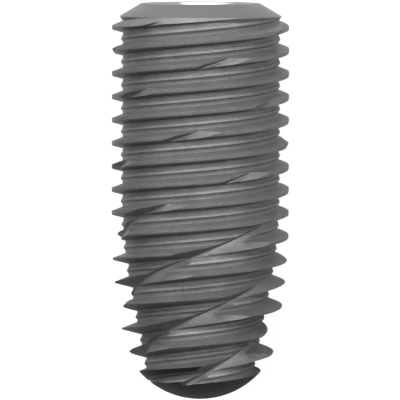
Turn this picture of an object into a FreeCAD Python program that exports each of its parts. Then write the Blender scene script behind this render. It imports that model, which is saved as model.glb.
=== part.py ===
"""Bone-level dental implant: one turned and milled titanium screw.

The fixture is modelled upright about its own axis, with the platform at depth
0 and the apex below it; depths run down from the platform.  Its placement then
lays it on its side, as it comes to rest on a table: platform towards +Y, apex
towards -Y, thread crests on the ground plane, origin on the ground under its
middle.
"""

import FreeCAD
import Part

import math
import os

import Sketcher
from FreeCAD import Placement, Rotation, Vector

# Driving sizes in millimetres and degrees: name, value, meaning.
SIZES = [
    ("total_length", "10.0", "platform to the tip of the apex"),
    ("thread_dia", "4.48", "over the crests of the parallel part"),
    ("thread_height", "0.27", "crest above the groove's floor, parallel part"),
    ("collar_dia", "4.08", "widest line of the collar"),
    ("collar_land", "0.03", "cylinder below the collar's bevel"),
    ("collar_height", "0.42", "platform to the underside of the collar"),
    ("collar_undercut", "0.05", "narrowing of the collar to its underside"),
    ("platform_dia", "3.0", "outer edge of the flat ring"),
    ("bevel_height", "0.32", "height of the collar's bevel"),
    ("runout_height", "0.22", "cone on which the first crests fade in"),
    ("crest_spacing", "0.586", "axial distance from crest to crest"),
    ("crest_flat", "0.106", "width of a crest, parallel part"),
    ("crest_flat_least", "0.035", "width of the sharpened apical crests"),
    ("upper_flank_angle", "21.5", "flank that faces the platform"),
    ("lower_flank_angle", "13.8", "flank that faces the apex"),
    ("first_crest_depth", "1.199", "depth of a crest at the left side"),
    ("core_taper_length", "5.16", "tip to where the core starts to taper"),
    ("core_taper_bend", "2.27", "length over which it reaches full taper"),
    ("crest_taper_length", "4.40", "tip to where the crests start to taper"),
    ("crest_taper_bend", "2.53", "length over which they reach full taper"),
    ("taper_angle", "11.0", "half angle of the apical cone"),
    ("dome_height", "1.208", "height of the round apex"),
    ("flute_lead", "4.647", "axial advance of a flute in one turn"),
    ("flute_front_length", "3.775", "tip to where a flute crosses the front line"),
    ("flute_notch", "0.16", "depth of the flutes in the parallel crests"),
    ("flute_bite", "0.04", "depth of the flutes in the tapered core"),
    ("flute_blend", "0.80", "length over which a flute deepens"),
    ("flute_upper_angle", "26.0", "steep wall of a flute, from the radius"),
    ("flute_lower_angle", "48.0", "open wall of a flute, from the radius"),
    ("mouth_dia", "2.02", "mouth of the conical seat"),
    ("seat_depth", "0.90", "depth of the conical seat"),
    ("seat_angle", "4.0", "half angle of the conical seat"),
    ("hex_flats", "1.60", "hexagon socket across its flats"),
    ("hex_depth", "1.20", "height of the hexagon socket"),
    ("screw_bore_dia", "1.22", "bore for the abutment screw"),
    ("screw_bore_depth", "3.10", "length of that bore"),
    ("drill_angle", "118", "point of the drilled bore"),
]

STARTS = 2
FLUTES = 3
BEND_CHORDS = 3
POINTS_PER_TURN = 12
CUTTER_REACH = 0.02
REST_ROLL = 30.0


def make_sheet(doc):
    """Put the driving sizes in the document's spreadsheet."""
    sheet = doc.addObject("Spreadsheet::Sheet", "sizes")
    for row, (alias, value, meaning) in enumerate(SIZES, start=1):
        sheet.set("A%d" % row, alias)
        sheet.set("B%d" % row, value)
        sheet.set("C%d" % row, meaning)
        sheet.setAlias("B%d" % row, alias)
    doc.recompute()
    return sheet


def tangent(angle):
    return math.tan(math.radians(angle))


class Form:
    """Laws of the screw's form, read from the sheet."""

    def __init__(self, sheet):
        for alias, _, _ in SIZES:
            setattr(self, alias, float(getattr(sheet, alias)))
        self.lead = STARTS * self.crest_spacing
        self.core_taper_depth = self.total_length - self.core_taper_length
        self.crest_taper_depth = self.total_length - self.crest_taper_length

    def tapered(self, radius, depth, start, bend):
        """Radius that leaves a cylinder tangentially and becomes a cone."""
        past = max(0.0, depth - start)
        if past < bend:
            return radius - tangent(self.taper_angle) * past * past / (2.0 * bend)
        return radius - tangent(self.taper_angle) * (past - bend / 2.0)

    def core_radius(self, depth):
        core = self.thread_dia / 2.0 - self.thread_height
        return self.tapered(core, depth, self.core_taper_depth, self.core_taper_bend)

    def crest_radius(self, depth):
        return self.tapered(self.thread_dia / 2.0, depth, self.crest_taper_depth, self.crest_taper_bend)

    def flute_floor(self, depth):
        """Radius of a flute's floor: in the crests above, in the core below."""
        upper = self.thread_dia / 2.0 - self.flute_notch
        share = (depth - self.core_taper_depth) / self.flute_blend
        share = min(1.0, max(0.0, share))
        share = share * share * (3.0 - 2.0 * share)
        return upper + share * (self.core_radius(depth) - self.flute_bite - upper)


def point_at(radius, depth, angle):
    """Point at an angle that runs from the left, round the front, to the right."""
    turned = math.radians(180.0 + angle)
    return Vector(radius * math.cos(turned), radius * math.sin(turned), -depth)


def origin_plane(body, role):
    """The body's own origin plane with this role."""
    return [feature for feature in body.Origin.OriginFeatures if feature.Role == role][0]


def sketch_on(body, name, role):
    """New sketch on one of the body's origin planes."""
    sketch = body.newObject("Sketcher::SketchObject", name)
    sketch.AttachmentSupport = [(origin_plane(body, role), "")]
    sketch.MapMode = "FlatFace"
    return sketch


def constrain(sketch, kind, geometry, value, expression):
    """Add a dimension and bind it to the sheet."""
    index = sketch.addConstraint(Sketcher.Constraint(kind, *geometry, value))
    sketch.setExpression("Constraints[%d]" % index, expression)


def add_outline(sketch, corners):
    """Draw the lines of a profile and dimension every corner from the origin.

    A corner is (radius, depth, radius expression, depth expression); an
    expression of None leaves the corner on the axis or at the platform.
    """
    lines = []
    for first, second in zip(corners[:-1], corners[1:]):
        ends = [Vector(corner[0], -corner[1], 0) for corner in (first, second)]
        lines.append(sketch.addGeometry(Part.LineSegment(*ends), False))
    for before, after in zip(lines[:-1], lines[1:]):
        sketch.addConstraint(Sketcher.Constraint("Coincident", before, 2, after, 1))
    for number, (radius, depth, across, down) in enumerate(corners):
        place = (lines[number], 1) if number < len(lines) else (lines[-1], 2)
        if across:
            constrain(sketch, "DistanceX", (-1, 1) + place, radius, across)
        else:
            sketch.addConstraint(Sketcher.Constraint("PointOnObject", *place, -2))
        if down:
            constrain(sketch, "DistanceY", place + (-1, 1), depth, down)
        else:
            sketch.addConstraint(Sketcher.Constraint("PointOnObject", *place, -1))
    return lines


def blank_corners(form):
    """Corners of the turned blank, from the axis to the apical cone."""
    bevel = form.bevel_height
    land = bevel + form.collar_land
    shoulder = land + form.runout_height
    corners = [
        (0.0, 0.0, None, None),
        (form.platform_dia / 2, 0.0, "sizes.platform_dia / 2", None),
        (form.collar_dia / 2, bevel, "sizes.collar_dia / 2", "sizes.bevel_height"),
        (form.collar_dia / 2, land, "sizes.collar_dia / 2", "sizes.bevel_height + sizes.collar_land"),
        (form.thread_dia / 2, shoulder, "sizes.thread_dia / 2",
         "sizes.bevel_height + sizes.collar_land + sizes.runout_height"),
        (form.thread_dia / 2, form.crest_taper_depth,
         "sizes.thread_dia / 2", "sizes.total_length - sizes.crest_taper_length"),
    ]
    for chord in range(1, BEND_CHORDS + 1):
        share = chord / BEND_CHORDS
        depth = form.crest_taper_depth + share * form.crest_taper_bend
        across = "sizes.thread_dia / 2 - tan(sizes.taper_angle * 1deg) * sizes.crest_taper_bend * %.6f"
        down = "sizes.total_length - sizes.crest_taper_length + sizes.crest_taper_bend * %.6f"
        corners.append((form.crest_radius(depth), depth, across % (share * share / 2), down % share))
    return corners


def add_dome(sketch, form, cone_start):
    """Carry a profile on as a cone and close it over the round apex."""
    radius, depth = cone_start
    rim_depth = form.total_length - form.dome_height
    rim = form.crest_radius(rim_depth)
    dome_radius = (rim * rim + form.dome_height ** 2) / (2.0 * form.dome_height)
    cone = sketch.addGeometry(Part.LineSegment(Vector(radius, -depth, 0), Vector(rim, -rim_depth, 0)), False)
    sketch.addConstraint(Sketcher.Constraint("Coincident", cone - 1, 2, cone, 1))
    constrain(sketch, "DistanceY", (cone, 2, -1, 1), rim_depth, "sizes.total_length - sizes.dome_height")
    constrain(sketch, "Angle", (cone,), math.radians(-90 - form.taper_angle),
              "-90deg - sizes.taper_angle * 1deg")
    centre = Vector(0, dome_radius - form.total_length, 0)
    circle = Part.Circle(centre, Vector(0, 0, 1), dome_radius)
    toward = math.atan2(-rim_depth - centre.y, rim)
    dome = sketch.addGeometry(Part.ArcOfCircle(circle, -math.pi / 2, toward), False)
    sketch.addConstraint(Sketcher.Constraint("PointOnObject", dome, 3, -2))
    sketch.addConstraint(Sketcher.Constraint("PointOnObject", dome, 1, -2))
    sketch.addConstraint(Sketcher.Constraint("Coincident", cone, 2, dome, 2))
    constrain(sketch, "DistanceY", (dome, 1, -1, 1), form.total_length, "sizes.total_length")
    axis = sketch.addGeometry(Part.LineSegment(Vector(0, -form.total_length, 0), Vector(0, 0, 0)), False)
    sketch.addConstraint(Sketcher.Constraint("Coincident", dome, 1, axis, 1))
    sketch.addConstraint(Sketcher.Constraint("Coincident", axis, 2, 0, 1))


def add_blank(body, form):
    """Turned blank: ring, bevel, collar, crest cylinder, cone and dome."""
    sketch = sketch_on(body, "blank_profile", "XZ_Plane")
    corners = blank_corners(form)
    add_outline(sketch, corners)
    add_dome(sketch, form, corners[-1][:2])
    blank = body.newObject("PartDesign::Revolution", "turned_blank")
    blank.Profile = sketch
    blank.ReferenceAxis = (sketch, ["V_Axis"])
    blank.Angle = 360


def add_connection_bore(body, form):
    """Conical seat, ledge and drilled bore on the axis."""
    sketch = sketch_on(body, "bore_profile", "XZ_Plane")
    seat = form.mouth_dia / 2 - form.seat_depth * tangent(form.seat_angle)
    bore = form.screw_bore_dia / 2
    floor = form.seat_depth + form.hex_depth + form.screw_bore_depth
    tip = floor + bore / tangent(form.drill_angle / 2)
    floor_rule = "sizes.seat_depth + sizes.hex_depth + sizes.screw_bore_depth"
    corners = [
        (0.0, 0.0, None, None),
        (form.mouth_dia / 2, 0.0, "sizes.mouth_dia / 2", None),
        (seat, form.seat_depth,
         "sizes.mouth_dia / 2 - sizes.seat_depth * tan(sizes.seat_angle * 1deg)", "sizes.seat_depth"),
        (bore, form.seat_depth, "sizes.screw_bore_dia / 2", "sizes.seat_depth"),
        (bore, floor, "sizes.screw_bore_dia / 2", floor_rule),
        (0.0, tip, None, floor_rule + " + sizes.screw_bore_dia / 2 / tan(sizes.drill_angle * 0.5deg)"),
    ]
    add_outline(sketch, corners)
    axis = sketch.addGeometry(Part.LineSegment(Vector(0, -tip, 0), Vector(0, 0, 0)), False)
    sketch.addConstraint(Sketcher.Constraint("Coincident", axis - 1, 2, axis, 1))
    sketch.addConstraint(Sketcher.Constraint("Coincident", axis, 2, 0, 1))
    bore_cut = body.newObject("PartDesign::Groove", "connection_bore")
    bore_cut.Profile = sketch
    bore_cut.ReferenceAxis = (sketch, ["V_Axis"])
    bore_cut.Angle = 360


def add_hex_socket(body, form):
    """Hexagon socket below the conical seat."""
    sketch = sketch_on(body, "hex_profile", "XY_Plane")
    sketch.AttachmentOffset = Placement(Vector(0, 0, -form.seat_depth), Rotation())
    sketch.setExpression("AttachmentOffset.Base.z", "-sizes.seat_depth")
    corner = form.hex_flats / 2 / math.cos(math.radians(30))
    points = [Vector(corner * math.cos(math.radians(60 * i)), corner * math.sin(math.radians(60 * i)), 0)
              for i in range(6)]
    sides = [sketch.addGeometry(Part.LineSegment(points[i], points[(i + 1) % 6]), False) for i in range(6)]
    ring = sketch.addGeometry(Part.Circle(Vector(0, 0, 0), Vector(0, 0, 1), corner), True)
    sketch.addConstraint(Sketcher.Constraint("Coincident", ring, 3, -1, 1))
    constrain(sketch, "Radius", (ring,), corner, "sizes.hex_flats / 2 / cos(30deg)")
    for i in range(6):
        sketch.addConstraint(Sketcher.Constraint("Coincident", sides[i], 2, sides[(i + 1) % 6], 1))
        sketch.addConstraint(Sketcher.Constraint("PointOnObject", sides[i], 1, ring))
    for i in range(1, 6):
        sketch.addConstraint(Sketcher.Constraint("Equal", sides[0], sides[i]))
    sketch.addConstraint(Sketcher.Constraint("PointOnObject", sides[0], 1, -1))
    socket = body.newObject("PartDesign::Pocket", "hex_socket")
    socket.Profile = sketch
    socket.setExpression("Length", "sizes.hex_depth")


def fixture_body(doc, form):
    """Blank with its inner connection, before any thread is cut."""
    body = doc.addObject("PartDesign::Body", "fixture_blank")
    add_blank(body, form)
    doc.recompute()
    solid_blank = body.Shape.Volume
    add_connection_bore(body, form)
    doc.recompute()
    bored = body.Shape.Volume
    add_hex_socket(body, form)
    doc.recompute()
    if not solid_blank > bored > body.Shape.Volume:
        raise RuntimeError("the inner connection cuts nothing")
    return body


def collar_guard(doc):
    """Cone that keeps the thread cutters out of the collar."""
    guard = doc.addObject("Part::Cone", "collar_guard")
    rise = "sizes.collar_undercut / (sizes.collar_height - sizes.bevel_height - sizes.collar_land / 2)"
    guard.setExpression("Height", "sizes.collar_height + 2 * sizes.crest_spacing")
    guard.setExpression("Radius1", "sizes.collar_dia / 2 - sizes.collar_undercut")
    guard.setExpression("Radius2", "Radius1 + Height * " + rise)
    guard.setExpression("Placement.Base.z", "-sizes.collar_height")
    return guard


def cutter_solid(sections):
    """Closed solid through equal sections along a helical path.

    Every corner runs on a smooth curve and the skin is split once a turn.
    """
    curves = []
    for track in zip(*sections):
        curve = Part.BSplineCurve()
        curve.interpolate(Points=list(track), Parameters=[float(i) for i in range(len(track))])
        curves.append(curve)
    last = len(sections) - 1
    joints = list(range(0, last - POINTS_PER_TURN // 2, POINTS_PER_TURN)) + [last]
    faces = []
    for begin, end in zip(joints[:-1], joints[1:]):
        edges = [curve.toShape(float(begin), float(end)) for curve in curves]
        for one, other in zip(edges, edges[1:] + edges[:1]):
            faces.append(Part.makeRuledSurface(one, other))
    for section in (sections[0], sections[-1]):
        faces.append(Part.Face(Part.makePolygon(section + section[:1])))
    shell = Part.Shell(faces)
    shell.sewShape()
    solid = Part.Solid(shell)
    if solid.Volume < 0:
        solid.reverse()
    return solid


def groove_section(form, depth, angle):
    """Axial section of a thread groove whose middle is at a depth.

    The floor runs parallel to the axis, so in the taper it steps in from one
    turn to the next, and the crests left beside it grow higher and sharper.
    """
    half = form.crest_spacing / 2.0
    floor = form.core_radius(depth)
    crest_above = form.crest_radius(depth - half)
    crest_below = form.crest_radius(depth + half)
    above = tangent(form.lower_flank_angle)
    below = tangent(form.upper_flank_angle)
    deeper = form.crest_radius(depth) - floor - form.thread_height
    flat = max(form.crest_flat_least, form.crest_flat - deeper * (above + below))
    edge = half - flat / 2.0
    profile = [
        (crest_above + CUTTER_REACH, -edge - above * CUTTER_REACH),
        (floor, -edge + above * (crest_above - floor)),
        (floor, edge - below * (crest_below - floor)),
        (crest_below + CUTTER_REACH, edge + below * CUTTER_REACH),
    ]
    return [point_at(radius, depth + shift, angle) for radius, shift in profile]


def thread_groove(form, start):
    """Groove of one start, from above the collar to below the apex."""
    depth = form.first_crest_depth + form.crest_spacing / 2.0 - form.lead
    angle = 360.0 * start / STARTS
    sections = []
    while depth < form.total_length + form.crest_spacing / 2.0:
        sections.append(groove_section(form, depth, angle))
        depth += form.lead / POINTS_PER_TURN
        angle -= 360.0 / POINTS_PER_TURN
    return cutter_solid(sections)


def flute_section(form, depth, angle):
    """Axial section of a cutting flute whose floor line is at a depth."""
    floor = form.flute_floor(depth)
    above = form.crest_radius(depth - form.crest_spacing / 2.0) + CUTTER_REACH
    below = form.crest_radius(depth) + CUTTER_REACH
    profile = [
        (above, -(above - floor) * tangent(form.flute_upper_angle)),
        (floor, 0.0),
        (below, (below - floor) * tangent(form.flute_lower_angle)),
    ]
    return [point_at(radius, depth + shift, angle) for radius, shift in profile]


def cutting_flute(form, number):
    """One helical flute, from above the platform to below the apex."""
    depth = -form.bevel_height
    front_depth = form.total_length - form.flute_front_length
    angle = 90.0 + 360.0 * ((front_depth - depth) / form.flute_lead + number / FLUTES)
    sections = []
    while depth < form.total_length + form.bevel_height:
        sections.append(flute_section(form, depth, angle))
        depth += form.flute_lead / POINTS_PER_TURN
        angle -= 360.0 / POINTS_PER_TURN
    return cutter_solid(sections)


def add_cutter(doc, name, solid):
    cutter = doc.addObject("Part::Feature", name)
    cutter.Shape = solid
    return cutter


def cut(doc, name, base, tool):
    result = doc.addObject("Part::Cut", name)
    result.Base = base
    result.Tool = tool
    result.Refine = False
    doc.recompute()
    return result


def cut_away(doc, name, base, tool):
    """Boolean cut that must remove something."""
    result = cut(doc, name, base, tool)
    if result.Shape.Volume >= base.Shape.Volume:
        raise RuntimeError(name + " cuts nothing")
    return result


def implant_fixture(doc, form):
    """The whole screw: blank, double thread, flutes; laid on its side, rolled to where it rests."""
    shape = fixture_body(doc, form)
    guard = collar_guard(doc)
    for start in range(STARTS):
        groove = add_cutter(doc, "thread_groove_%d" % (start + 1), thread_groove(form, start))
        trimmed = cut(doc, "groove_below_collar_%d" % (start + 1), groove, guard)
        shape = cut_away(doc, "thread_start_%d" % (start + 1), shape, trimmed)
    for number in range(FLUTES):
        flute = add_cutter(doc, "flute_%d" % (number + 1), cutting_flute(form, number))
        shape = cut_away(doc, "fluted_%d" % (number + 1), shape, flute)
    shape.Label = "implant_fixture"
    laid_down = Rotation(Vector(0, 1, 0), REST_ROLL) * Rotation(Vector(1, 0, 0), -90)
    shape.Placement = Placement(Vector(0, form.total_length / 2, form.thread_dia / 2), laid_down)
    shape.setExpression("Placement.Base.y", "sizes.total_length / 2")
    shape.setExpression("Placement.Base.z", "sizes.thread_dia / 2")
    doc.recompute()
    return shape


def check(doc, parts):
    """Stop on any failed object or bad solid."""
    for item in doc.Objects:
        if "Invalid" in item.State or "Error" in item.State:
            raise RuntimeError("%s did not compute: %s" % (item.Label, item.State))
    for item in parts:
        if item.Shape.isNull() or not item.Shape.isValid() or len(item.Shape.Solids) != 1:
            raise RuntimeError("%s is not one valid solid" % item.Label)


def main():
    doc = FreeCAD.newDocument("dental_implant")
    form = Form(make_sheet(doc))
    parts = [implant_fixture(doc, form)]
    check(doc, parts)
    os.makedirs("parts", exist_ok=True)
    for item in parts:
        item.Shape.exportStep("parts/%s.step" % item.Label)
        box = item.Shape.BoundBox
        print("%s: volume %.3f mm3, box %s" % (item.Label, item.Shape.Volume, box))


main()
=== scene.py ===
"""Dental implant: the dressed model of a blasted titanium screw on a pale floor.

The screw lies on its side, platform towards +Y.  All of its forms are worked
out in millimetres on the standing screw's own axis (radius, depth below the
platform, angle from the left side round the front), and the finished mesh is
laid down into the frame at the end.
"""

import logging
import math
from dataclasses import dataclass
from enum import Enum

import bpy
import numpy as np
from mathutils import Matrix, Vector


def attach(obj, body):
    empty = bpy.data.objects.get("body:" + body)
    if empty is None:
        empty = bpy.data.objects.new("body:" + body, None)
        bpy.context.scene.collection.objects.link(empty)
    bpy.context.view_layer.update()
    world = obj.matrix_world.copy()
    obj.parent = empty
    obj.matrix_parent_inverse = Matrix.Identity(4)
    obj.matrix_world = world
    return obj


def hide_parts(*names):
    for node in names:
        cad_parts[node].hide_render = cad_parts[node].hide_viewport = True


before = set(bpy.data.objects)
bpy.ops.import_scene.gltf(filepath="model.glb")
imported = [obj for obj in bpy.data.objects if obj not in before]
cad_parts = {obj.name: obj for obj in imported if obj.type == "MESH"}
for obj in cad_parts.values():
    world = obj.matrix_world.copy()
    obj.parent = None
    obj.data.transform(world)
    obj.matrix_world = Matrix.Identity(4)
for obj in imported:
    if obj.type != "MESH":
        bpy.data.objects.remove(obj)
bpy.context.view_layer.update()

log = logging.getLogger("implant")
NODE = "implant_fixture"
MM = 0.001
AXIS_HEIGHT = 2.24
REST_ROLL = 30.0


class Zone(Enum):
    """Zones of the screw, in the order of its material slots; the connection's slot carries painted light and
    the apex's slot painted shade.
    """

    BLASTED = 0
    MACHINED = 1
    CONNECTION = 2
    APEX = 3


def tangent(degrees: float) -> float:
    """Tangent of an angle in degrees."""
    return math.tan(math.radians(degrees))


def smooth_share(share: np.ndarray) -> np.ndarray:
    """Clamp a share to 0..1 and ease it at both ends."""
    share = np.clip(share, 0.0, 1.0)
    return share * share * (3.0 - 2.0 * share)


@dataclass(frozen=True)
class ScrewForm:
    """Sizes in millimetres and degrees, and the laws of the screw's form."""

    total_length: float = 10.0
    crest_radius: float = 2.239
    thread_height: float = 0.27
    crest_spacing: float = 0.586
    first_crest_depth: float = 1.199
    core_taper_depth: float = 4.84
    core_taper_bend: float = 2.27
    crest_taper_depth: float = 5.60
    crest_taper_bend: float = 2.53
    taper_angle: float = 11.0
    dome_radius: float = 2.044

    def tapered(self, radius: float, depth: np.ndarray, start: float, bend: float) -> np.ndarray:
        """Radius that leaves a cylinder tangentially and becomes a cone.

        Args:
            radius: radius of the cylinder.
            depth: depths to work out.
            start: depth at which the cylinder ends.
            bend: length over which the cone's angle is reached.

        Returns:
            The radius at each depth.
        """
        past = np.maximum(0.0, np.asarray(depth, float) - start)
        curved = tangent(self.taper_angle) * past * past / (2.0 * bend)
        straight = tangent(self.taper_angle) * (past - bend / 2.0)
        return radius - np.where(past < bend, curved, straight)

    def core(self, depth: np.ndarray) -> np.ndarray:
        """Radius of the groove's floor."""
        cylinder = self.crest_radius - self.thread_height
        return self.tapered(cylinder, depth, self.core_taper_depth, self.core_taper_bend)

    def crest(self, depth: np.ndarray) -> np.ndarray:
        """Radius over the crests."""
        return self.tapered(self.crest_radius, depth, self.crest_taper_depth, self.crest_taper_bend)


def place(radius: np.ndarray, depth: np.ndarray, angle: np.ndarray) -> np.ndarray:
    """Points on the standing screw's axis, in millimetres.

    Args:
        radius: distances from the axis.
        depth: depths below the platform.
        angle: angles in radians from the left, round the front, to the right.

    Returns:
        An array of x, y, z rows; the axis is z and the front faces -y.
    """
    radius, depth, angle = np.broadcast_arrays(radius, depth, angle)
    return np.stack([-radius * np.cos(angle), -radius * np.sin(angle), -depth], axis=-1).reshape(-1, 3)


def solid_object(name: str, points: np.ndarray, faces: list[tuple[int, ...]]) -> bpy.types.Object:
    """Make a mesh object from points and faces, with its normals outwards.

    Args:
        name: name of the mesh and its object.
        points: rows of x, y, z in millimetres.
        faces: corner numbers of each face.

    Returns:
        The object, linked to the scene.
    """
    mesh = bpy.data.meshes.new(name)
    mesh.from_pydata([tuple(point) for point in points], [], faces)
    mesh.update()
    piece = bpy.data.objects.new(name, mesh)
    bpy.context.scene.collection.objects.link(piece)
    volume = signed_volume(mesh)
    if volume < 0.0:
        mesh.flip_normals()
    log.info("%s: %d faces, %.3f mm3", name, len(mesh.polygons), abs(volume))
    return piece


def signed_volume(mesh: bpy.types.Mesh) -> float:
    """Volume of a closed mesh.

    Args:
        mesh: the mesh to measure.

    Returns:
        The volume that it encloses, negative when it is inside out.
    """
    mesh.calc_loop_triangles()
    corners = np.empty(len(mesh.loop_triangles) * 3, np.int32)
    mesh.loop_triangles.foreach_get("vertices", corners)
    points = np.empty(len(mesh.vertices) * 3)
    mesh.vertices.foreach_get("co", points)
    first, second, third = points.reshape(-1, 3)[corners.reshape(-1, 3)].transpose(1, 0, 2)
    return float(np.einsum("ij,ij->", first, np.cross(second, third)) / 6.0)


def revolved_solid(name: str, profile: list[tuple[float, float]], columns: int) -> bpy.types.Object:
    """Turn a profile of (radius, depth) corners about the axis.

    Args:
        name: name of the solid.
        profile: corners from one end on the axis to the other, ends included.
        columns: points round the axis.

    Returns:
        A closed mesh object.
    """
    angles = np.arange(columns) * (2.0 * math.pi / columns)
    rings = [place(radius, depth, angles) for radius, depth in profile[1:-1]]
    ends = [place(0.0, profile[0][1], 0.0), place(0.0, profile[-1][1], 0.0)]
    points = np.concatenate(rings + ends)
    top, bottom = len(points) - 2, len(points) - 1
    last = (len(rings) - 1) * columns
    faces: list[tuple[int, ...]] = []
    for column in range(columns):
        after = (column + 1) % columns
        faces.append((top, column, after))
        faces.append((bottom, last + after, last + column))
        for ring in range(len(rings) - 1):
            here, below = ring * columns, (ring + 1) * columns
            faces.append((here + column, below + column, below + after, here + after))
    return solid_object(name, points, faces)


def swept_solid(name: str, sections: np.ndarray) -> bpy.types.Object:
    """Close a solid through equal sections that follow one another.

    Args:
        name: name of the solid.
        sections: array of sections x corners x 3.

    Returns:
        A closed mesh object.
    """
    count, corners = sections.shape[:2]
    last = (count - 1) * corners
    first_end = tuple(range(corners))
    last_end = tuple(last + corner for corner in reversed(range(corners)))
    faces: list[tuple[int, ...]] = [first_end, last_end]
    for section in range(count - 1):
        here, there = section * corners, (section + 1) * corners
        for corner in range(corners):
            after = (corner + 1) % corners
            faces.append((here + after, here + corner, there + corner, there + after))
    return solid_object(name, sections.reshape(-1, 3), faces)


def combine(base: bpy.types.Object, tool: bpy.types.Object, operation: str) -> None:
    """Combine a solid with a tool solid and delete the tool.

    Args:
        base: the object whose mesh is replaced.
        tool: the other solid.
        operation: UNION, INTERSECT or DIFFERENCE.
    """
    modifier = base.modifiers.new("combine", "BOOLEAN")
    modifier.operation = operation
    modifier.solver = "MANIFOLD"
    modifier.object = tool
    depsgraph = bpy.context.evaluated_depsgraph_get()
    mesh = bpy.data.meshes.new_from_object(base.evaluated_get(depsgraph))
    base.modifiers.clear()
    old, old_tool = base.data, tool.data
    base.data = mesh
    bpy.data.meshes.remove(old)
    bpy.data.objects.remove(tool)
    bpy.data.meshes.remove(old_tool)
    if not mesh.polygons:
        raise RuntimeError("%s with a tool leaves nothing" % base.name)
    log.info("%s %s: %d faces, %.3f mm3", base.name, operation, len(mesh.polygons), signed_volume(mesh))


@dataclass(frozen=True)
class ThreadedRod:
    """Rod that carries the twin-start thread and its small ribs.

    It runs past both ends of the screw.  The rib's outline is in shares of its
    reach across the groove and of its height.
    """

    form: ScrewForm
    starts: int = 2
    columns: int = 180
    crest_flat: float = 0.106
    crest_flat_least: float = 0.035
    upper_flank: float = 21.5
    lower_flank: float = 13.8
    crest_rounding: float = 0.018
    upper_root_rounding: float = 0.006
    lower_root_rounding: float = 0.006
    floor_crown: float = 0.010
    crest_slope: float = 0.007
    rib_height: float = 0.042
    rib_ridge: float = 0.002
    rib_rise: float = 0.082
    rib_fall: float = 0.060
    rib_outline: tuple[tuple[float, float], ...] = (
        (-1.0, 0.0), (-0.86, 0.42), (-0.10, 0.96), (-0.03, 1.0),
        (0.06, 1.0), (0.20, 0.93), (0.86, 0.05), (1.0, 0.0))
    margin: float = 0.7
    tip_reach: float = 1.0

    @staticmethod
    def rounded_corner(
            before: np.ndarray, corner: np.ndarray, after: np.ndarray, reach: float) -> list[np.ndarray]:
        """Three points that round a corner of the section.

        Args:
            before: the corner before, as (depth, radius).
            corner: the corner to round.
            after: the corner after.
            reach: how far the rounding runs along each side.

        Returns:
            Points at the start, the middle and the end of the rounding.
        """
        into = before - corner
        onward = after - corner
        into = corner + reach * into / np.linalg.norm(into, axis=0)
        onward = corner + reach * onward / np.linalg.norm(onward, axis=0)
        return [into, 0.25 * into + 0.5 * corner + 0.25 * onward, onward]

    def section(self, middle: np.ndarray) -> list[np.ndarray]:
        """Rows of one groove, from the crest above to just before the next.

        Args:
            middle: depth of the groove's middle in each column.

        Returns:
            Rows of (depth, radius) arrays.
        """
        form = self.form
        half = form.crest_spacing / 2.0
        floor = form.core(middle)
        above, below = form.crest(middle - half), form.crest(middle + half)
        fall, rise = tangent(self.lower_flank), tangent(self.upper_flank)
        deeper = form.crest(middle) - floor - form.thread_height
        flat = np.maximum(self.crest_flat_least, self.crest_flat - deeper * (fall + rise))
        edge = half - flat / 2.0
        root = floor - self.floor_crown
        corners = [
            np.stack([middle - half, above - self.crest_slope / 2.0]),
            np.stack([middle - edge, above - self.crest_slope]),
            np.stack([middle - edge + fall * (above - floor), root]),
            np.stack([middle, floor]),
            np.stack([middle + edge - rise * (below - floor), root]),
            np.stack([middle + edge, below]),
            np.stack([middle + half, below - self.crest_slope / 2.0]),
        ]
        rows = [corners[0]]
        rows += self.rounded_corner(*corners[0:3], self.crest_rounding)
        rows += self.rounded_corner(*corners[1:4], self.upper_root_rounding)
        rows += self.rib(middle, floor)
        rows += self.rounded_corner(*corners[3:6], self.lower_root_rounding)
        rows.append(corners[5])
        return rows

    def rib(self, middle: np.ndarray, floor: np.ndarray) -> list[np.ndarray]:
        """Rows of the small rib in the middle of a groove.

        Args:
            middle: depth of the groove's middle in each column.
            floor: radius of the groove's floor there.

        Returns:
            Rows of (depth, radius) arrays.
        """
        rows = []
        for across, height in self.rib_outline:
            reach = self.rib_rise if across < 0.0 else self.rib_fall
            shift = self.rib_ridge + across * reach
            rows.append(np.stack([middle + shift, floor + height * self.rib_height]))
        return rows

    def build(self) -> bpy.types.Object:
        """Build the rod as one closed helical mesh.

        Row by row, the grid's last column meets the first one a turn further
        on, and each end is closed from its rim to a tip on the axis.

        Returns:
            The rod's object.
        """
        form = self.form
        spacing = form.crest_spacing
        lead = self.starts * spacing
        angles = np.arange(self.columns) * (2.0 * math.pi / self.columns)
        first = -math.ceil((form.first_crest_depth + self.margin) / spacing)
        last = math.ceil((form.total_length + self.margin + lead - form.first_crest_depth) / spacing)
        rows = []
        for number in range(first, last):
            middle = form.first_crest_depth + (number + 0.5) * spacing - lead * angles / (2.0 * math.pi)
            rows += self.section(middle)
        per_turn = self.starts * len(rows) // (last - first)
        points = np.concatenate([place(radius, depth, angles) for depth, radius in rows])
        columns, count = self.columns, len(rows)
        faces: list[tuple[int, ...]] = []
        for row in range(count - 1):
            here, below = row * columns, (row + 1) * columns
            for column in range(columns - 1):
                faces.append((here + column, below + column, below + column + 1, here + column + 1))
        for row in range(per_turn, count - 1):
            end, start = row * columns + columns - 1, (row - per_turn) * columns
            faces.append((end, end + columns, start + columns, start))
        upper_tip = float(-points[:, 2].max()) - self.tip_reach
        lower_tip = float(-points[:, 2].min()) + self.tip_reach
        tips = place(0.0, np.array([upper_tip, lower_tip]), 0.0)
        top, bottom = len(points), len(points) + 1
        points = np.concatenate([points, tips])
        for one, other in self.rim_pairs(columns, count, per_turn, at_top=True):
            faces.append((top, one, other))
        for one, other in self.rim_pairs(columns, count, per_turn, at_top=False):
            faces.append((bottom, other, one))
        return solid_object("threaded_rod", points, faces)

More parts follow.
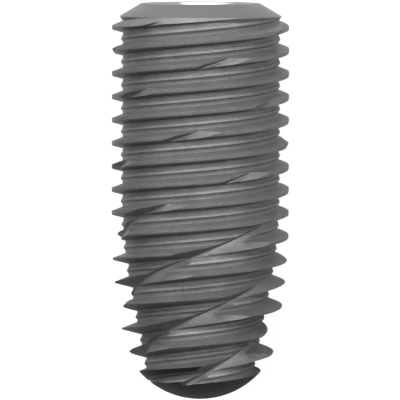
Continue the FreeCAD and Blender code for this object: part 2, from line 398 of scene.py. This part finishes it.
    @staticmethod
    def rim_pairs(columns: int, count: int, per_turn: int, at_top: bool) -> list[tuple[int, int]]:
        """Edges of the open rim, one helical edge and the step beside it.

        Args:
            columns: points round the axis.
            count: rows of the grid.
            per_turn: rows that one turn of the helix advances.
            at_top: whether the rim lies at the platform's end.

        Returns:
            Pairs of point numbers, in order round the axis.
        """
        if at_top:
            rim = list(range(columns))
            rim += [row * columns + columns - 1 for row in range(1, per_turn + 1)]
        else:
            base = (count - 1) * columns
            rim = [row * columns for row in range(count - 1 - per_turn, count - 1)]
            rim += [base + column for column in range(columns)]
        return list(zip(rim, rim[1:] + rim[:1]))


@dataclass(frozen=True)
class TurnedEnvelope:
    """Turned outline: ring, bevel, collar, run-out cone and round apex."""

    form: ScrewForm
    columns: int = 192
    platform_inside: float = 1.2
    platform_radius: float = 1.5
    collar_radius: float = 2.04
    bevel_height: float = 0.32
    collar_land: float = 0.03
    collar_height: float = 0.42
    collar_undercut: float = 0.05
    runout_height: float = 0.22
    rounding: float = 0.02
    platform_ease: float = 0.2
    collar_ease: float = 0.1
    plug_rise: float = 1.0
    clear_radius: float = 2.32
    dome_rows: int = 40
    dome_start: float = 8.5

    def bevel_slope(self) -> tuple[float, float]:
        """Direction down the bevel.

        Returns:
            The unit direction as (radius, depth).
        """
        run = self.collar_radius - self.platform_radius
        slant = math.hypot(run, self.bevel_height)
        return run / slant, self.bevel_height / slant

    def build(self) -> bpy.types.Object:
        """Build the envelope that trims the rod.

        Returns:
            The envelope's object.
        """
        form = self.form
        out, down = self.bevel_slope()
        land = self.bevel_height + self.collar_land
        fade = (form.crest_radius - self.collar_radius) / self.runout_height
        clear_depth = land + (self.clear_radius - self.collar_radius) / fade
        soft = self.rounding
        platform_set = self.platform_ease * soft
        collar_set = self.collar_ease * soft
        profile = [
            (0.0, 0.0), (self.platform_inside, 0.0), (self.platform_radius - soft, 0.0),
            (self.platform_radius - platform_set, platform_set * down / out),
            (self.platform_radius + soft * out, soft * down),
            (self.collar_radius - soft * out, self.bevel_height - soft * down),
            (self.collar_radius - collar_set, self.bevel_height - collar_set),
            (self.collar_radius, self.bevel_height + soft / 2.0), (self.collar_radius, land),
            (self.clear_radius, clear_depth), (self.clear_radius, self.dome_start),
        ]
        centre = form.total_length - form.dome_radius
        start = math.asin((self.dome_start - centre) / form.dome_radius)
        for row in range(self.dome_rows):
            turn = start + (math.pi / 2.0 - start) * row / self.dome_rows
            profile.append((form.dome_radius * math.cos(turn), centre + form.dome_radius * math.sin(turn)))
        profile.append((0.0, form.total_length))
        return revolved_solid("turned_envelope", profile, self.columns)

    def build_collar(self) -> bpy.types.Object:
        """Build the plug that fills the thread's grooves inside the collar.

        Returns:
            The plug's object.
        """
        middle = self.bevel_height + self.collar_land / 2.0
        slope = self.collar_undercut / (self.collar_height - middle)
        tip = self.collar_radius - self.collar_undercut
        rise = self.collar_height + self.plug_rise
        profile = [
            (0.0, -self.plug_rise), (tip + slope * rise, -self.plug_rise),
            (tip, self.collar_height), (0.0, self.collar_height),
        ]
        return revolved_solid("collar_plug", profile, self.columns)


@dataclass(frozen=True)
class CuttingFlutes:
    """Three helical flutes that notch the crests and cut into the taper.

    Each has a foot, a shallow V along its bottom, between a steep upper wall
    and an open lower wall.  The foot is narrower where the flute is a notch.
    """

    form: ScrewForm
    count: int = 3
    lead: float = 4.647
    front_depth: float = 6.225
    notch: float = 0.16
    bite: float = 0.05
    blend: float = 0.80
    upper_wall: float = 26.0
    lower_wall: float = 48.0
    foot_height: float = 0.036
    foot_upper_wall: float = 42.0
    foot_width: float = 0.115
    foot_lip: float = 0.15
    foot_floor: float = 0.05
    foot_flat: float = 0.10
    notch_foot: float = 0.3
    points_per_turn: int = 120
    overrun: float = 0.32
    clearance: float = 0.08

    def share(self, depth: np.ndarray) -> np.ndarray:
        """Share of a flute's full depth, from a notch to a groove in the core."""
        return smooth_share((depth - self.form.core_taper_depth) / self.blend)

    def floor(self, depth: np.ndarray) -> np.ndarray:
        """Radius of the flute's floor line.

        Args:
            depth: depths to work out.

        Returns:
            The radius at each depth.
        """
        form = self.form
        upper = form.crest_radius - self.notch
        return upper + self.share(depth) * (form.core(depth) - self.bite - upper)

    def build(self, number: int) -> bpy.types.Object:
        """Build the cutter of one flute.

        Args:
            number: which of the flutes, from 0.

        Returns:
            The cutter's object.
        """
        form = self.form
        span = form.total_length + 2.0 * self.overrun
        steps = int(math.ceil(span / self.lead * self.points_per_turn))
        depth = -self.overrun + np.arange(steps + 1) * self.lead / self.points_per_turn
        angle = math.pi / 2.0 + 2.0 * math.pi * ((self.front_depth - depth) / self.lead + number / self.count)
        floor = self.floor(depth)
        above = form.crest(depth - form.crest_spacing / 2.0) + self.clearance
        below = form.crest(depth) + self.clearance
        steep, open_wall = tangent(self.upper_wall), tangent(self.lower_wall)
        width = self.foot_width * (self.notch_foot + (1.0 - self.notch_foot) * self.share(depth))
        foot = self.foot_height / self.foot_width * width
        foot_run = foot * tangent(self.foot_upper_wall)
        rows = [
            (above, depth - foot_run - (above - floor - foot) * steep),
            (floor + foot, depth - foot_run),
            (floor + self.foot_lip * foot, depth - self.foot_lip * foot_run),
            (floor + self.foot_floor * foot, depth + self.foot_flat * width),
            (floor + foot, depth + width),
            (below, depth + width + (below - floor - foot) * open_wall),
        ]
        sections = np.stack([place(radius, shift, angle) for radius, shift in rows], axis=1)
        return swept_solid("flute_%d" % (number + 1), sections)


@dataclass(frozen=True)
class InnerConnection:
    """Conical seat, hexagon socket and threaded screw bore."""

    mouth_radius: float = 1.01
    seat_depth: float = 0.90
    seat_angle: float = 4.0
    mouth_rounding: float = 0.025
    hex_flats: float = 1.60
    hex_depth: float = 1.20
    hex_corner: tuple[tuple[float, float], ...] = ((-4.0, 0.968), (0.0, 0.985), (4.0, 0.968))
    bore_radius: float = 0.61
    bore_chamfer: float = 0.13
    bore_length: float = 3.10
    drill_angle: float = 118.0
    thread_major: float = 0.79
    thread_pitch: float = 0.35
    thread_half_angle: float = 30.0
    thread_start: float = 0.05
    thread_stop: float = 0.5
    thread_fade: float = 0.7
    thread_least: float = 0.012
    overrun: float = 0.5
    overlap: float = 0.3
    lip: float = 0.1
    columns: int = 96

    def seat(self) -> bpy.types.Object:
        """Build the cutter of the conical seat, with a softened mouth.

        Returns:
            The cutter's object.
        """
        slope = tangent(self.seat_angle)
        soft = self.mouth_rounding
        bottom = self.mouth_radius - self.seat_depth * slope
        profile = [
            (0.0, -self.overrun), (self.mouth_radius + self.overrun, -self.overrun),
            (self.mouth_radius + self.overrun, -self.lip),
            (self.mouth_radius + soft + self.lip, -self.lip), (self.mouth_radius + soft, 0.0),
            (self.mouth_radius + 0.3 * soft, 0.3 * soft), (self.mouth_radius - soft * slope, soft),
            (bottom, self.seat_depth), (0.0, self.seat_depth),
        ]
        return revolved_solid("conical_seat", profile, self.columns)

    def hexagon(self) -> bpy.types.Object:
        """Build the cutter of the hexagon socket, its corners slightly rounded.

        Returns:
            The cutter's object.
        """
        reach = self.hex_flats / 2.0 / math.cos(math.radians(30.0))
        angles = []
        radii = []
        for corner in range(6):
            for offset, share in self.hex_corner:
                angles.append(math.radians(60.0 * corner + offset))
                radii.append(reach * share)
        angle, radius = np.array(angles), np.array(radii)
        ends = (self.seat_depth - self.overlap, self.seat_depth + self.hex_depth)
        sections = np.stack([place(radius, depth, angle) for depth in ends])
        return swept_solid("hexagon_socket", sections)

    def screw_bore(self) -> bpy.types.Object:
        """Build the cutter of the plain bore and its drill point.

        Returns:
            The cutter's object.
        """
        start = self.seat_depth + self.hex_depth
        floor = start + self.bore_length
        tip = floor + self.bore_radius / tangent(self.drill_angle / 2.0)
        chamfer = self.bore_radius + self.bore_chamfer
        profile = [
            (0.0, start - self.overlap), (chamfer, start - self.overlap), (chamfer, start),
            (self.bore_radius, start + self.bore_chamfer), (self.bore_radius, floor), (0.0, tip),
        ]
        return revolved_solid("screw_bore", profile, self.columns)

    def screw_thread(self) -> bpy.types.Object:
        """Build the cutter of the fine thread that runs down the bore.

        Returns:
            The cutter's object.
        """
        start = self.seat_depth + self.hex_depth + self.thread_start
        turns = (self.bore_length - self.thread_stop) / self.thread_pitch
        steps = int(turns * self.columns)
        share = np.arange(steps + 1) / self.columns
        depth = start + share * self.thread_pitch
        angle = -2.0 * math.pi * share
        fade = smooth_share((turns - share) / self.thread_fade)
        inner = self.bore_radius - self.thread_start
        least = self.bore_radius + self.thread_least
        major = least + fade * (self.thread_major - least)
        half_root = self.thread_pitch / 16.0
        spread = (major - inner) * tangent(self.thread_half_angle)
        rows = [
            (np.full_like(depth, inner), depth - half_root - spread),
            (major, depth - half_root),
            (major, depth + half_root),
            (np.full_like(depth, inner), depth + half_root + spread),
        ]
        sections = np.stack([place(radius, shift, angle) for radius, shift in rows], axis=1)
        return swept_solid("screw_thread", sections)


class NodeSheet:
    """Places and joins shader nodes in one tree."""

    STEP = 180.0

    def __init__(self, tree: bpy.types.NodeTree) -> None:
        """Keep the tree and start at its left edge."""
        self.tree = tree
        self.across = 0.0

    def add(self, kind: str, **values: object) -> bpy.types.Node:
        """Add a node and set its properties and inputs.

        Args:
            kind: the node's type, such as ShaderNodeTexNoise.
            **values: properties, or inputs by name with spaces as underscores.

        Returns:
            The new node.
        """
        node = self.tree.nodes.new(kind)
        node.location = (self.across, 0.0)
        self.across += self.STEP
        for name, value in values.items():
            if hasattr(node, name):
                setattr(node, name, value)
            else:
                node.inputs[name.replace("_", " ")].default_value = value
        return node

    def join(self, source: bpy.types.NodeSocket, target: bpy.types.NodeSocket) -> None:
        """Link one socket to another."""
        self.tree.links.new(source, target)

    def math(self, operation: str, *values: object, clamp: bool = False) -> bpy.types.NodeSocket:
        """Add a Math node.

        Args:
            operation: the Math node's operation.
            *values: its inputs in order, each a number or a socket.
            clamp: whether the result is held to 0..1.

        Returns:
            The node's output.
        """
        node = self.add("ShaderNodeMath", operation=operation, use_clamp=clamp)
        for index, value in enumerate(values):
            if isinstance(value, bpy.types.NodeSocket):
                self.join(value, node.inputs[index])
            else:
                node.inputs[index].default_value = value
        return node.outputs[0]


def fresh_sheet(owner: bpy.types.Material | bpy.types.World) -> NodeSheet:
    """Give a material or world an empty node tree.

    Args:
        owner: the material or world.

    Returns:
        A sheet for its tree.
    """
    owner.use_nodes = True
    owner.node_tree.nodes.clear()
    return NodeSheet(owner.node_tree)


class SurfaceEffects:
    """Shader node groups that the screw's finishes share."""

    def __init__(self) -> None:
        """Build each group once."""
        self.grain = self.build_grain()
        self.turning = self.build_turning()

    @staticmethod
    def new_group(name: str, inputs: dict[str, float], outputs: list[str]) -> bpy.types.NodeTree:
        """Make an empty group.

        Args:
            name: name of the group.
            inputs: its float inputs and their first values.
            outputs: its float outputs.

        Returns:
            The group's tree.
        """
        tree = bpy.data.node_groups.new(name, "ShaderNodeTree")
        for label, value in inputs.items():
            socket = tree.interface.new_socket(
                name=label, in_out="INPUT", socket_type="NodeSocketFloat")
            socket.default_value = value
        for label in outputs:
            tree.interface.new_socket(name=label, in_out="OUTPUT", socket_type="NodeSocketFloat")
        return tree

    def build_grain(self) -> bpy.types.NodeTree:
        """Blasted and etched grain: craters, fine pits and soft clouds.

        Returns:
            The group, whose sizes count the craters and pits to a millimetre.
        """
        sizes = {"Crater Size": 34.0, "Pit Size": 90.0}
        tree = self.new_group("blasted_grain", sizes, ["Height", "Tone", "Clouds"])
        sheet = NodeSheet(tree)
        inside = sheet.add("NodeGroupInput")
        place_node = sheet.add("ShaderNodeTexCoord")
        scaled = sheet.add("ShaderNodeVectorMath", operation="SCALE")
        sheet.join(place_node.outputs["Object"], scaled.inputs[0])
        scaled.inputs["Scale"].default_value = 1.0 / MM
        craters = sheet.add("ShaderNodeTexNoise", Detail=3.0, Roughness=0.62)
        pits = sheet.add("ShaderNodeTexVoronoi", feature="F1")
        clouds = sheet.add("ShaderNodeTexNoise", Scale=2.2, Detail=3.0, Roughness=0.6)
        for node in (craters, pits, clouds):
            sheet.join(scaled.outputs[0], node.inputs["Vector"])
        sheet.join(inside.outputs["Crater Size"], craters.inputs["Scale"])
        sheet.join(inside.outputs["Pit Size"], pits.inputs["Scale"])
        crater_height = sheet.math("SUBTRACT", craters.outputs[0], 0.5)
        pit_height = sheet.math("MULTIPLY", pits.outputs["Distance"], 0.45)
        height = sheet.math("ADD", crater_height, pit_height)
        tone = sheet.math("MULTIPLY_ADD", crater_height, 1.6, 0.5)
        outside = sheet.add("NodeGroupOutput")
        sheet.join(height, outside.inputs["Height"])
        sheet.join(tone, outside.inputs["Tone"])
        sheet.join(clouds.outputs[0], outside.inputs["Clouds"])
        return tree

    def build_turning(self) -> bpy.types.NodeTree:
        """Fine lines that a turning tool leaves round the axis.

        Returns:
            The group.
        """
        tree = self.new_group("turning_lines", {"Lines per mm": 38.0, "Waver": 0.4}, ["Height", "Tone"])
        sheet = NodeSheet(tree)
        inside = sheet.add("NodeGroupInput")
        place_node = sheet.add("ShaderNodeTexCoord")
        parts = sheet.add("ShaderNodeSeparateXYZ")
        sheet.join(place_node.outputs["Object"], parts.inputs[0])
        lifted = sheet.math("SUBTRACT", parts.outputs["Z"], AXIS_HEIGHT * MM)
        across = sheet.math("POWER", parts.outputs["X"], 2.0)
        upward = sheet.math("POWER", lifted, 2.0)
        radius = sheet.math("SQRT", sheet.math("ADD", across, upward))
        run = sheet.math("SUBTRACT", radius, parts.outputs["Y"])
        run_mm = sheet.math("MULTIPLY", run, 1.0 / MM)
        phase = sheet.math("MULTIPLY", run_mm, inside.outputs["Lines per mm"])
        lines = sheet.add("ShaderNodeTexNoise", noise_dimensions="1D", Detail=2.0, Roughness=0.7)
        lines.inputs["Scale"].default_value = 1.0
        sheet.join(phase, lines.inputs["W"])
        height = sheet.math("SUBTRACT", lines.outputs[0], 0.5)
        tone = sheet.math("MULTIPLY", height, inside.outputs["Waver"])
        outside = sheet.add("NodeGroupOutput")
        sheet.join(height, outside.inputs["Height"])
        sheet.join(sheet.math("ADD", tone, 0.5), outside.inputs["Tone"])
        return tree


@dataclass(frozen=True)
class MetalFinish:
    """One finish of the titanium: its colours, gloss and surface grain; the connection's colours also hold
    painted light, the apex's painted shade.

    The bump's depth is in millimetres.
    """

    name: str
    dark: tuple[float, float, float]
    light: tuple[float, float, float]
    metallic: float
    roughness: float
    roughness_spread: float
    bump: float
    bump_depth: float
    blasted: bool

    def build(self, effects: SurfaceEffects) -> bpy.types.Material:
        """Build the material from the shared effects.

        Args:
            effects: the shader groups.

        Returns:
            The finished material.
        """
        material = bpy.data.materials.new(self.name)
        sheet = fresh_sheet(material)
        group = sheet.add("ShaderNodeGroup")
        group.node_tree = effects.grain if self.blasted else effects.turning
        tone = group.outputs["Tone"]
        if self.blasted:
            cloud = sheet.math("MULTIPLY_ADD", group.outputs["Clouds"], 0.5, -0.25)
            tone = sheet.math("ADD", tone, cloud, clamp=True)
        colour = sheet.add("ShaderNodeMix", data_type="RGBA")
        colour.inputs[6].default_value = (*self.dark, 1.0)
        colour.inputs[7].default_value = (*self.light, 1.0)
        sheet.join(tone, colour.inputs[0])
        dullest = self.roughness + self.roughness_spread / 2.0
        gloss = sheet.math("MULTIPLY_ADD", tone, -self.roughness_spread, dullest)
        bump = sheet.add("ShaderNodeBump", Strength=self.bump, Distance=self.bump_depth * MM)
        sheet.join(group.outputs["Height"], bump.inputs["Height"])
        shader = sheet.add("ShaderNodeBsdfPrincipled", Metallic=self.metallic)
        sheet.join(colour.outputs[2], shader.inputs["Base Color"])
        sheet.join(gloss, shader.inputs["Roughness"])
        sheet.join(bump.outputs[0], shader.inputs["Normal"])
        output = sheet.add("ShaderNodeOutputMaterial")
        sheet.join(shader.outputs[0], output.inputs["Surface"])
        return material


FINISHES_WITH_PAINTED_LIGHT = {
    Zone.BLASTED: MetalFinish(
        name="blasted_titanium", dark=(0.065, 0.0637, 0.0640), light=(0.252, 0.2475, 0.2485), metallic=0.42,
        roughness=0.32, roughness_spread=0.10, bump=0.5, bump_depth=0.012, blasted=True),
    Zone.MACHINED: MetalFinish(
        name="machined_titanium", dark=(0.21, 0.21, 0.211), light=(0.29, 0.29, 0.291), metallic=0.85,
        roughness=0.30, roughness_spread=0.06, bump=0.25, bump_depth=0.002, blasted=False),
    # Machined titanium of the inner connection, its colours made about twice as light as the collar's as
    # painted light inside the bore.
    Zone.CONNECTION: MetalFinish(
        name="connection_titanium_painted_light", dark=(0.46, 0.465, 0.47), light=(0.58, 0.585, 0.59), metallic=0.85,
        roughness=0.24, roughness_spread=0.06, bump=0.25, bump_depth=0.002, blasted=False),
    # The round apex: blasted titanium, its colours darkened well below the thread's as painted shade on a
    # dome that faces away from the light.
    Zone.APEX: MetalFinish(
        name="blasted_apex_painted_shade", dark=(0.022, 0.0213, 0.0205), light=(0.080, 0.0776, 0.0752), metallic=0.75,
        roughness=0.36, roughness_spread=0.10, bump=0.5, bump_depth=0.012, blasted=True),
}


@dataclass(frozen=True)
class ImplantFixture:
    """The whole screw: rod, envelope, collar, flutes and inner connection."""

    form: ScrewForm
    sharp_angle: float = 24.0
    normal_weight: int = 60
    opening_radius: float = 1.03
    opening_depth: float = 6.0
    edge_margin: float = 0.003
    dome_margin: float = 0.012

    def build(self) -> bpy.types.Object:
        """Build the screw, give each zone its slot and lay the screw down.

        Returns:
            The screw's object, in metres.
        """
        form = self.form
        envelope = TurnedEnvelope(form)
        piece = ThreadedRod(form).build()
        combine(piece, envelope.build_collar(), "UNION")
        combine(piece, envelope.build(), "INTERSECT")
        flutes = CuttingFlutes(form)
        for number in range(flutes.count):
            combine(piece, flutes.build(number), "DIFFERENCE")
        connection = InnerConnection()
        for cut in (connection.seat, connection.hexagon, connection.screw_bore, connection.screw_thread):
            combine(piece, cut(), "DIFFERENCE")
        piece.name = "titanium_screw"
        piece.data.name = "titanium_screw"
        self.mark_zones(piece.data, envelope)
        self.lay_down(piece.data)
        self.smooth(piece)
        return piece

    def mark_zones(self, mesh: bpy.types.Mesh, envelope: TurnedEnvelope) -> None:
        """Give each face the material slot of its zone.

        Args:
            mesh: the standing screw's mesh, in millimetres.
            envelope: the turned outline that the zones follow.
        """
        mesh.materials.clear()
        count = len(mesh.polygons)
        centres = np.empty(count * 3)
        mesh.polygons.foreach_get("center", centres)
        centres = centres.reshape(-1, 3)
        radius = np.hypot(centres[:, 0], centres[:, 1])
        depth = -centres[:, 2]
        zones = np.full(count, Zone.BLASTED.value, np.int32)
        land = envelope.bevel_height + envelope.collar_land
        inside = (radius < self.opening_radius) & (depth > self.edge_margin) & (depth < self.opening_depth)
        zones[(depth < land - self.edge_margin) & (radius > 1.0)] = Zone.MACHINED.value
        # Faces inside the opening get the connection's slot, whose lighter colours are partly painted light.
        zones[inside] = Zone.CONNECTION.value
        # Faces on the round apex get the slot whose dark colours are painted shade.
        centre = self.form.total_length - self.form.dome_radius
        on_dome = np.hypot(radius, depth - centre) > self.form.dome_radius - self.dome_margin
        zones[on_dome & (depth > envelope.dome_start)] = Zone.APEX.value
        mesh.polygons.foreach_set("material_index", zones)

    def lay_down(self, mesh: bpy.types.Mesh) -> None:
        """Turn the standing screw onto its side, in metres."""
        roll = Matrix.Rotation(math.radians(REST_ROLL), 4, "Y")
        tip_over = Matrix.Rotation(math.radians(-90.0), 4, "X")
        lift = Matrix.Translation((0.0, self.form.total_length / 2.0, AXIS_HEIGHT))
        mesh.transform(Matrix.Scale(MM, 4) @ lift @ (roll @ tip_over))

    def smooth(self, piece: bpy.types.Object) -> None:
        """Shade smoothly over the flats, with the creases kept sharp.

        Args:
            piece: the screw's object.
        """
        mesh = piece.data
        mesh.polygons.foreach_set("use_smooth", np.ones(len(mesh.polygons), bool))
        mesh.set_sharp_from_angle(angle=math.radians(self.sharp_angle))
        modifier = piece.modifiers.new("weighted", "WEIGHTED_NORMAL")
        modifier.keep_sharp = True
        modifier.weight = self.normal_weight
        mesh.update()

    def dress(self, piece: bpy.types.Object, effects: SurfaceEffects) -> None:
        """Give the screw its finishes, with their painted light and shade, and hand it to the frame.

        Args:
            piece: the screw's object.
            effects: the shader groups that the finishes share.
        """
        for zone in Zone:
            piece.data.materials.append(FINISHES_WITH_PAINTED_LIGHT[zone].build(effects))
        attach(piece, "root")
        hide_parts(NODE)


@dataclass(frozen=True)
class Studio:
    """Pale floor, soft surrounding light and the camera, in millimetres.

    The light is one soft sheet round the screw.  Each of its bands is a
    direction's Y and the light's level there, and between them it changes
    evenly.  It weakens towards -X.  The floor shows in the metal between its
    two glow levels, dim beyond the apex and pale beyond the platform.
    """

    camera_distance: float = 202.0
    camera_tilt: float = 3.03
    camera_roll: float = 0.14
    lens: float = 720.0
    sensor: float = 36.0
    clip_start: float = 10.0
    target: tuple[float, float, float] = (-0.005, 0.03, AXIS_HEIGHT)
    floor_reach: float = 400.0
    floor_colour: float = 0.20
    floor_white: float = 0.91
    floor_glow: tuple[float, float] = (0.01, 0.33)
    floor_glow_from: tuple[float, float] = (-5.0, 1.0)
    brightest: float = 7.8
    side_level: float = 0.20
    side_from: tuple[float, float] = (-1.0, -0.1)
    light_bands: tuple[tuple[float, float], ...] = (
        (-1.0, 0.006), (-0.75, 0.006), (-0.5, 0.017), (-0.25, 0.12),
        (-0.09, 1.67), (0.09, 1.67), (0.24, 0.44), (0.40, 5.55),
        (0.62, 5.55), (0.74, 1.22), (0.88, 1.22), (1.0, 7.8))

    @staticmethod
    def eased(
            sheet: NodeSheet, value: bpy.types.NodeSocket,
            reach: tuple[float, float], levels: tuple[float, float]) -> bpy.types.NodeSocket:
        """Ease from one level to another as a value crosses its reach.

        Args:
            sheet: where the node is added.
            value: the value's socket.
            reach: the value at the start and at the end.
            levels: the levels there.

        Returns:
            The level's socket.
        """
        node = sheet.add("ShaderNodeMapRange", interpolation_type="SMOOTHSTEP")
        sheet.join(value, node.inputs["Value"])
        ends = (*reach, *levels)
        for label, end in zip(("From Min", "From Max", "To Min", "To Max"), ends):
            node.inputs[label].default_value = end
        return node.outputs[0]

    def build_world(self) -> None:
        """Light bands round the screw, and white for the camera."""
        world = bpy.data.worlds.new("studio")
        bpy.context.scene.world = world
        sheet = fresh_sheet(world)
        coords = sheet.add("ShaderNodeTexCoord")
        parts = sheet.add("ShaderNodeSeparateXYZ")
        sheet.join(coords.outputs["Generated"], parts.inputs[0])
        share = sheet.math("MULTIPLY_ADD", parts.outputs["Y"], 0.5, 0.5)
        bands = sheet.add("ShaderNodeValToRGB")
        sheet.join(share, bands.inputs[0])
        stops = bands.color_ramp.elements
        for number, (along, level) in enumerate(self.light_bands):
            stop = stops[number] if number < 2 else stops.new(1.0)
            stop.position = 0.5 + 0.5 * along
            tone = level / self.brightest
            stop.color = (tone, tone, tone, 1.0)
        levels = (self.side_level * self.brightest, self.brightest)
        side = self.eased(sheet, parts.outputs["X"], self.side_from, levels)
        light = sheet.math("MULTIPLY", bands.outputs[0], side)
        path = sheet.add("ShaderNodeLightPath")
        strength = sheet.math("MAXIMUM", path.outputs["Is Camera Ray"], light)
        background = sheet.add("ShaderNodeBackground")
        background.inputs["Color"].default_value = (1.0, 1.0, 1.0, 1.0)
        sheet.join(strength, background.inputs["Strength"])
        output = sheet.add("ShaderNodeOutputWorld")
        sheet.join(background.outputs[0], output.inputs["Surface"])

    def build_floor(self) -> None:
        """Pale floor that shows white and keeps the screw's shadow."""
        reach = self.floor_reach * MM
        mesh = bpy.data.meshes.new("floor")
        corners = [(-reach, -reach, 0.0), (reach, -reach, 0.0), (reach, reach, 0.0), (-reach, reach, 0.0)]
        mesh.from_pydata(corners, [], [(0, 1, 2, 3)])
        floor = bpy.data.objects.new("floor", mesh)
        bpy.context.scene.collection.objects.link(floor)
        material = bpy.data.materials.new("pale_floor")
        sheet = fresh_sheet(material)
        coords = sheet.add("ShaderNodeTexCoord")
        parts = sheet.add("ShaderNodeSeparateXYZ")
        sheet.join(coords.outputs["Object"], parts.inputs[0])
        start, end = self.floor_glow_from
        mirrored = self.eased(sheet, parts.outputs["Y"], (start * MM, end * MM), self.floor_glow)
        path = sheet.add("ShaderNodeLightPath")
        gloss = sheet.math("MAXIMUM", path.outputs["Is Glossy Ray"], path.outputs["Is Transmission Ray"])
        direct = sheet.math("MULTIPLY", path.outputs["Is Camera Ray"], self.floor_white)
        seen = sheet.math("MAXIMUM", direct, sheet.math("MULTIPLY", gloss, mirrored))
        glow = sheet.add("ShaderNodeEmission")
        glow.inputs["Color"].default_value = (1.0, 1.0, 1.0, 1.0)
        sheet.join(seen, glow.inputs["Strength"])
        matt = sheet.add("ShaderNodeBsdfDiffuse")
        matt.inputs["Color"].default_value = (self.floor_colour, self.floor_colour, self.floor_colour, 1.0)
        both = sheet.add("ShaderNodeAddShader")
        sheet.join(glow.outputs[0], both.inputs[0])
        sheet.join(matt.outputs[0], both.inputs[1])
        output = sheet.add("ShaderNodeOutputMaterial")
        sheet.join(both.outputs[0], output.inputs["Surface"])
        mesh.materials.append(material)

    def build_camera(self) -> None:
        """Camera that looks down on the lying screw."""
        data = bpy.data.cameras.new("camera")
        data.lens = self.lens
        data.sensor_width = self.sensor
        data.clip_start = self.clip_start * MM
        camera = bpy.data.objects.new("camera", data)
        bpy.context.scene.collection.objects.link(camera)
        tilt = Matrix.Rotation(math.radians(-self.camera_tilt), 4, "X")
        turn = Matrix.Rotation(math.radians(REST_ROLL), 4, "Y") @ tilt
        away = turn @ Vector((0.0, 0.0, self.camera_distance))
        spot = (Vector(self.target) + away) * MM
        roll = Matrix.Rotation(math.radians(self.camera_roll), 4, "Z")
        camera.matrix_world = Matrix.Translation(spot) @ turn @ roll
        bpy.context.scene.camera = camera

    def build(self) -> None:
        """Build everything round the screw."""
        bpy.context.scene.view_settings.view_transform = "Standard"
        self.build_world()
        self.build_floor()
        self.build_camera()


def main() -> None:
    """Build the screw and its studio."""
    logging.basicConfig(level=logging.INFO, format="%(name)s: %(message)s")
    fixture = ImplantFixture(ScrewForm())
    screw = fixture.build()
    fixture.dress(screw, SurfaceEffects())
    log.info("%s: %d faces", screw.name, len(screw.data.polygons))
    Studio().build()


if __name__ == "__main__":
    main()
